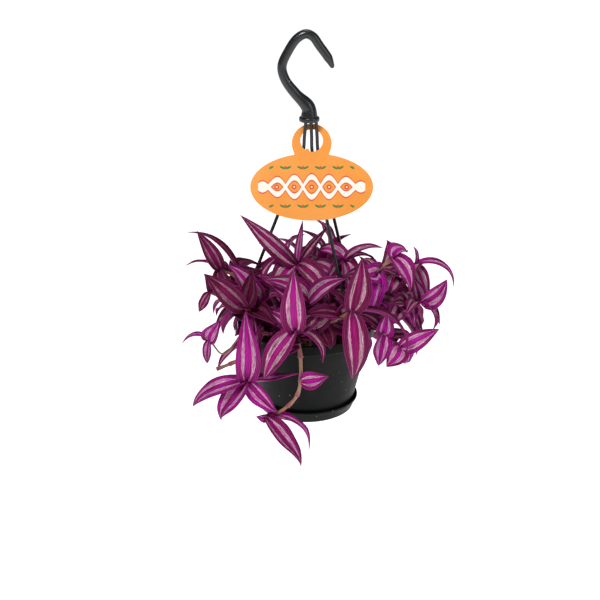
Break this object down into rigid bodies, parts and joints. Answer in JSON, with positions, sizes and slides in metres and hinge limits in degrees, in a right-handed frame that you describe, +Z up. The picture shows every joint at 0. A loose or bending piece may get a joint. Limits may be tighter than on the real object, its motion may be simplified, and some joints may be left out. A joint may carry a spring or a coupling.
{
  "type": "potted tradescantia",
  "caption": "Trailing plant with pointed purple leaves striped in silver, in a small round pot that hangs with its saucer from a three-strand hanger with a hook and an oval tag.",
  "frame": {"origin": "inner top of the hook's crown, the point that it hangs from", "axes": "+Z up along the plumb line; the opening of the hook and the face of the tag look towards -Y; +X to the side of the hook's tip"},
  "size_m": [0.2407, 0.2131, 0.3627],
  "materials": {
    "pot_plastic": "satin",
    "hanger_plastic": "satin",
    "potting_soil": "matte",
    "tag_card": "satin",
    "leaf": "satin",
    "stem": "satin"
  },
  "bodies": {
    "root": {"pot": "pot_plastic", "saucer": "pot_plastic", "soil": "potting_soil", "hanger_hook": "hanger_plastic", "hanger_strand_left": "hanger_plastic", "hanger_strand_front": "hanger_plastic", "hanger_strand_rear": "hanger_plastic", "card_tag": "tag_card", "stem_front_trail": "leaf", "stem_front_middle": "leaf", "stem_front_right": "leaf", "stem_left_low": "leaf", "stem_left_sprig": "leaf", "stem_left_middle": "leaf", "stem_left_high": "leaf", "stem_left_drop": "leaf", "stem_crown_left": "leaf", "stem_crown_right": "leaf", "stem_right_high": "leaf", "stem_right_far": "leaf", "stem_right_middle": "leaf", "stem_right_low": "leaf", "stem_back_right": "leaf", "stem_back_right_trail": "leaf", "stem_back_right_high": "leaf", "stem_back_middle": "leaf", "stem_back_middle_high": "leaf", "stem_back_left_trail": "leaf", "stem_back_left": "leaf", "stem_back_left_high": "leaf", "stem_left_back": "leaf", "stem_crown_front": "leaf", "stem_crown_front_left": "leaf", "stem_crown_back": "leaf", "stem_right_back": "leaf"}
  },
  "joints": []
}
